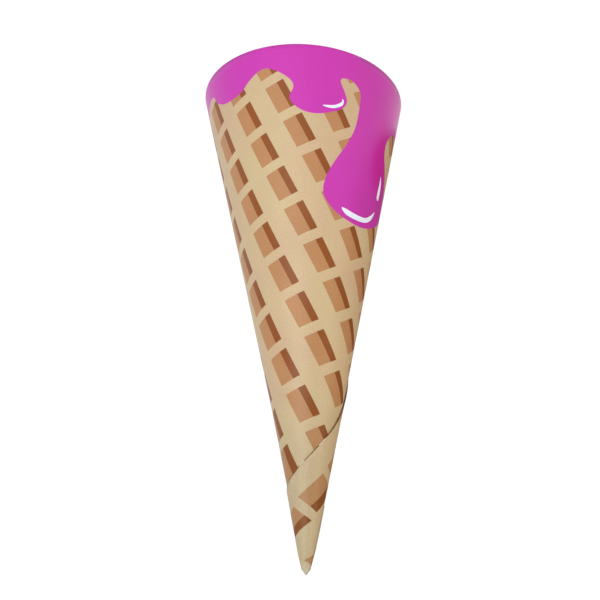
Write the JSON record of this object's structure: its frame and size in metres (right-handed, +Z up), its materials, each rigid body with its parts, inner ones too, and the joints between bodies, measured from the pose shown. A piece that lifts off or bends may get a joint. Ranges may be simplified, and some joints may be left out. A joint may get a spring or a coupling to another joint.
{
  "type": "cone sleeve",
  "caption": "Pointed paper cone sleeve rolled from one sheet, with a waffle print and pink icing running down from its mouth.",
  "frame": {"origin": "middle of the footprint, on the level cut of the mouth that it stands on", "axes": "+Z up towards the point; -Y is the front of the roll, where the overlap's edge shows; the cone's axis leans 3.3 degrees towards -X, because the mouth is cut that far from square"},
  "size_m": [0.06, 0.06, 0.1508],
  "materials": {
    "coated_paper": "semi-gloss coated print"
  },
  "bodies": {
    "root": {"cone_sleeve": "coated_paper"}
  },
  "joints": []
}
